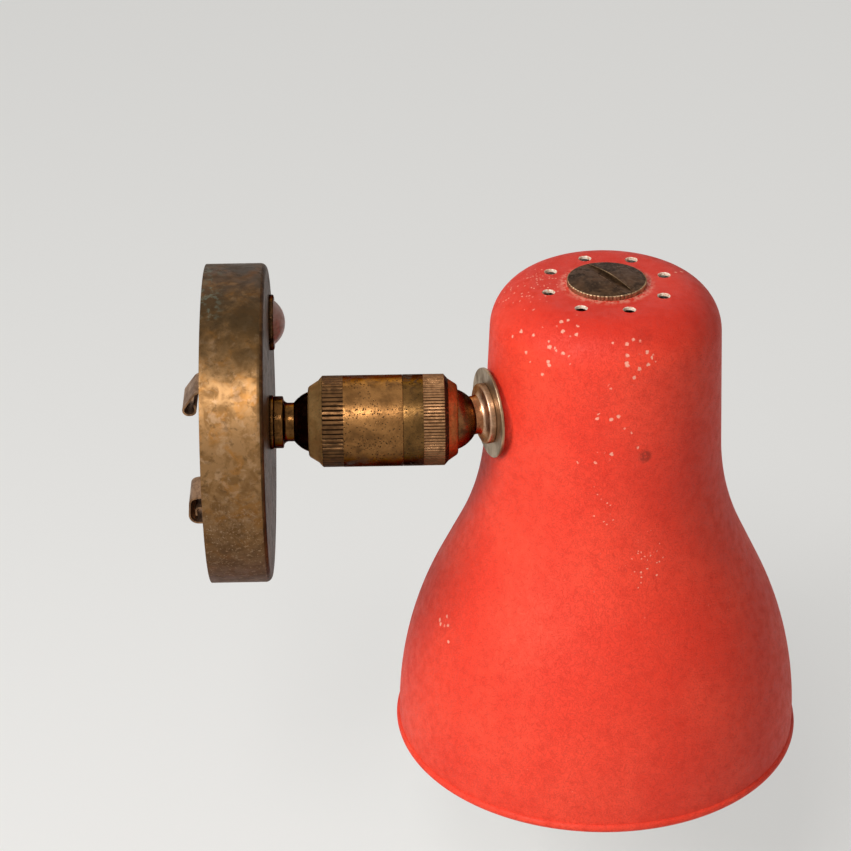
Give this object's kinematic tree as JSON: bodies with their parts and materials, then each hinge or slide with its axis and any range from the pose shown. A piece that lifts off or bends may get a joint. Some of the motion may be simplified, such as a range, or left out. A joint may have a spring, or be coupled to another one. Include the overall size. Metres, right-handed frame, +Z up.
{
  "type": "adjustable wall lamp",
  "caption": "Wall lamp with a round brass canopy and push switch, a knurled double ball swivel and a painted bell shade that turns and tilts.",
  "frame": {"origin": "centre of the canopy's back rim, on the wall, midway between the two keyholes", "axes": "+X out of the wall along the arm, +Z up, +Y towards the switch's side of the canopy"},
  "size_m": [0.1995, 0.135, 0.1735],
  "materials": {
    "orange_wrinkle_paint": "tomato orange wrinkle enamel, worn at the edges, white inside",
    "aged_brass": "lacquered brass, mottled and spotted with age",
    "turned_brass": "turned brass, dulled to pinkish brown",
    "dark_brass": "brass darkened almost to black in the joint",
    "bezel_brass": "dull brass ring",
    "contact_brass": "plain stamped brass",
    "dark_bronze": "dark bronzed brass with a milled edge",
    "clip_steel": "plain spring steel, dulled",
    "strap_steel": "plain steel strap, dulled",
    "cup_steel": "plain steel, oiled",
    "zinc_steel": "zinc plated, grey-green and dull",
    "ivory_button": "ivory moulding, yellowed",
    "switch_moulding": "dark brown moulded phenolic",
    "holder_moulding": "dark moulded phenolic",
    "ceramic": "glazed white ceramic",
    "lead_covering": "cotton braid over rubber, cream",
    "tinned_copper": "tinned copper strand, twisted"
  },
  "bodies": {
    "canopy": {"canopy": "aged_brass", "hanging_strap": "strap_steel", "spring_clip_upper": "clip_steel", "spring_clip_lower": "clip_steel", "clip_rivets": "clip_steel", "switch_body": "switch_moulding", "switch_terminals": "contact_brass", "switch_bezel_nut": "bezel_brass", "canopy_leads": "lead_covering", "lead_tips": "tinned_copper", "wall_seat_ring": "turned_brass", "wall_lock_washer": "zinc_steel", "wall_lock_nut": "turned_brass"},
    "push_button": {"push_button": "ivory_button"},
    "wall_ball_stud": {"wall_ball_stud": "dark_brass"},
    "wall_cup": {"wall_friction_cup": "cup_steel"},
    "swivel": {"swivel_sleeve": "aged_brass", "swivel_spring": "cup_steel"},
    "clamp_ring": {"clamp_sleeve": "aged_brass"},
    "shade_cup": {"shade_friction_cup": "cup_steel"},
    "shade_ball_stud": {"shade_ball_stud": "turned_brass"},
    "shade": {"shade_washer": "zinc_steel", "shade_shell": "orange_wrinkle_paint", "shade_lock_washer": "zinc_steel", "shade_lock_nut": "turned_brass", "top_cap_screw": "dark_bronze", "holder_cap": "holder_moulding", "holder_insert": "ceramic", "screw_shell": "contact_brass", "centre_contact": "contact_brass", "holder_skirt": "holder_moulding", "shade_leads": "lead_covering"}
  },
  "joints": [
    {"name": "arm_turn", "type": "hinge", "parent": "canopy", "child": "wall_ball_stud", "pos_m": [0.0345, 0, 0], "axis": [1, 0, 0], "range_deg": [-170, 170]},
    {"name": "arm_tilt", "type": "hinge", "parent": "wall_ball_stud", "child": "wall_cup", "pos_m": [0.0345, 0, 0], "axis": [0, 1, 0], "range_deg": [-25, 25]},
    {"name": "sleeve_spin", "type": "hinge", "parent": "wall_cup", "child": "swivel", "pos_m": [0.0345, 0, 0], "axis": [1, 0, 0], "range_deg": [-170, 170]},
    {"name": "clamp_ring_turn", "type": "hinge", "parent": "swivel", "child": "clamp_ring", "pos_m": [0.0607, 0, 0], "axis": [1, 0, 0], "range_deg": [0, 90]},
    {"name": "shade_ball_turn", "type": "hinge", "parent": "swivel", "child": "shade_cup", "pos_m": [0.0745, 0, 0], "axis": [1, 0, 0], "range_deg": [-170, 170]},
    {"name": "shade_ball_tilt", "type": "hinge", "parent": "shade_cup", "child": "shade_ball_stud", "pos_m": [0.0745, 0, 0], "axis": [0, 0, 1], "range_deg": [-41.5, 8.5]},
    {"name": "shade_turn", "type": "hinge", "parent": "shade_ball_stud", "child": "shade", "pos_m": [0.0745, 0, 0], "axis": [0.9588, 0.284, 0], "range_deg": [-170, 170]},
    {"name": "button_press", "type": "slide", "parent": "canopy", "child": "push_button", "axis": [-1, 0, 0], "range_m": [0, 0.003], "stiffness_N_per_m": 900, "springref_m": -0.002}
  ]
}
